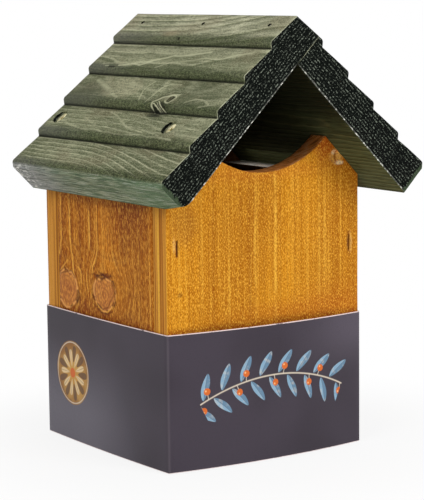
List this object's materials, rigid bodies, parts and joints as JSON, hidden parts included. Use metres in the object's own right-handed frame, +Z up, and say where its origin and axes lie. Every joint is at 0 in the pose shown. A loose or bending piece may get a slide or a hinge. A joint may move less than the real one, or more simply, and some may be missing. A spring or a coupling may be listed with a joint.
{
  "type": "robin nest box",
  "caption": "Open-fronted timber nest box with a scooped entrance, a lapped pitched roof that overhangs the front, and a plain card sleeve round its base.",
  "frame": {"origin": "under the middle of the box, on the surface that it stands on", "axes": "+Z up, the open front faces -Y, the back that goes against a wall faces +Y, +X to the right seen from the front"},
  "size_m": [0.1808, 0.1684, 0.2557],
  "materials": {
    "honey_pine": "honey stained sawn pine",
    "brown_pine": "brown stained sawn pine",
    "raw_pine": "sawn pine",
    "green_pine": "grey green stained sawn pine",
    "yellow_zinc": "yellow zinc plated",
    "bright_wire": "bright drawn wire",
    "grey_card": "printed matt card"
  },
  "bodies": {
    "root": {"front_panel": "honey_pine", "back_panel": "brown_pine", "left_side_panel": "brown_pine", "right_side_panel": "brown_pine", "floor_panel": "raw_pine", "left_roof_board": "green_pine", "right_roof_board": "green_pine", "roof_screws": "yellow_zinc", "ridge_nails": "bright_wire", "wall_staples": "bright_wire", "floor_staples": "bright_wire", "card_sleeve": "grey_card"}
  },
  "joints": []
}
